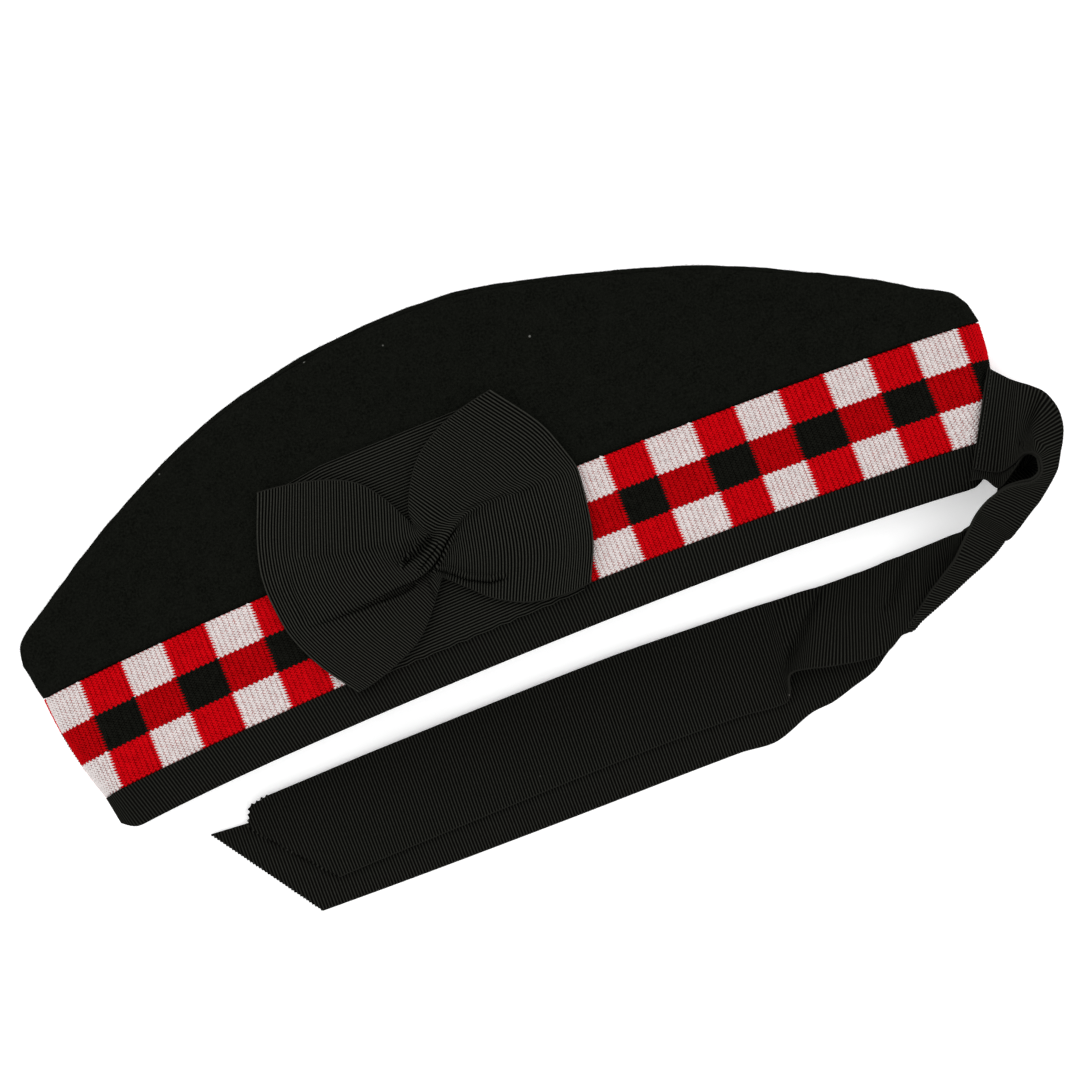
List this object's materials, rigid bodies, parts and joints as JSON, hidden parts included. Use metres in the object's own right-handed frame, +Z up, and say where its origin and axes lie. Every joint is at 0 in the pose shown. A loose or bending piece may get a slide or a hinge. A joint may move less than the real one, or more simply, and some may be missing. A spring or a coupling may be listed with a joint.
{
  "type": "glengarry cap",
  "caption": "Black felt glengarry cap lying on its side, with a knitted diced band, a bound brim, a ribbon bow on a flat base and two ribbon tails.",
  "frame": {"origin": "middle of the whole box at its lowest point, on the surface that the cap lies on", "axes": "+X to the back of the cap along its longest side, +Y to the ridge of the crown, +Z up to the cap's left side"},
  "size_m": [0.3274, 0.1676, 0.0388],
  "materials": {
    "felt": "matt black wool felt",
    "knit": "knitted dicing in white, red and black",
    "ribbon": "black grosgrain ribbon with fine ribs across it"
  },
  "bodies": {
    "root": {"felt_crown": "felt", "diced_band": "knit", "brim_binding": "ribbon", "rosette_base": "ribbon", "rosette_bow": "ribbon", "tail_near": "ribbon", "tail_far": "ribbon"}
  },
  "joints": []
}
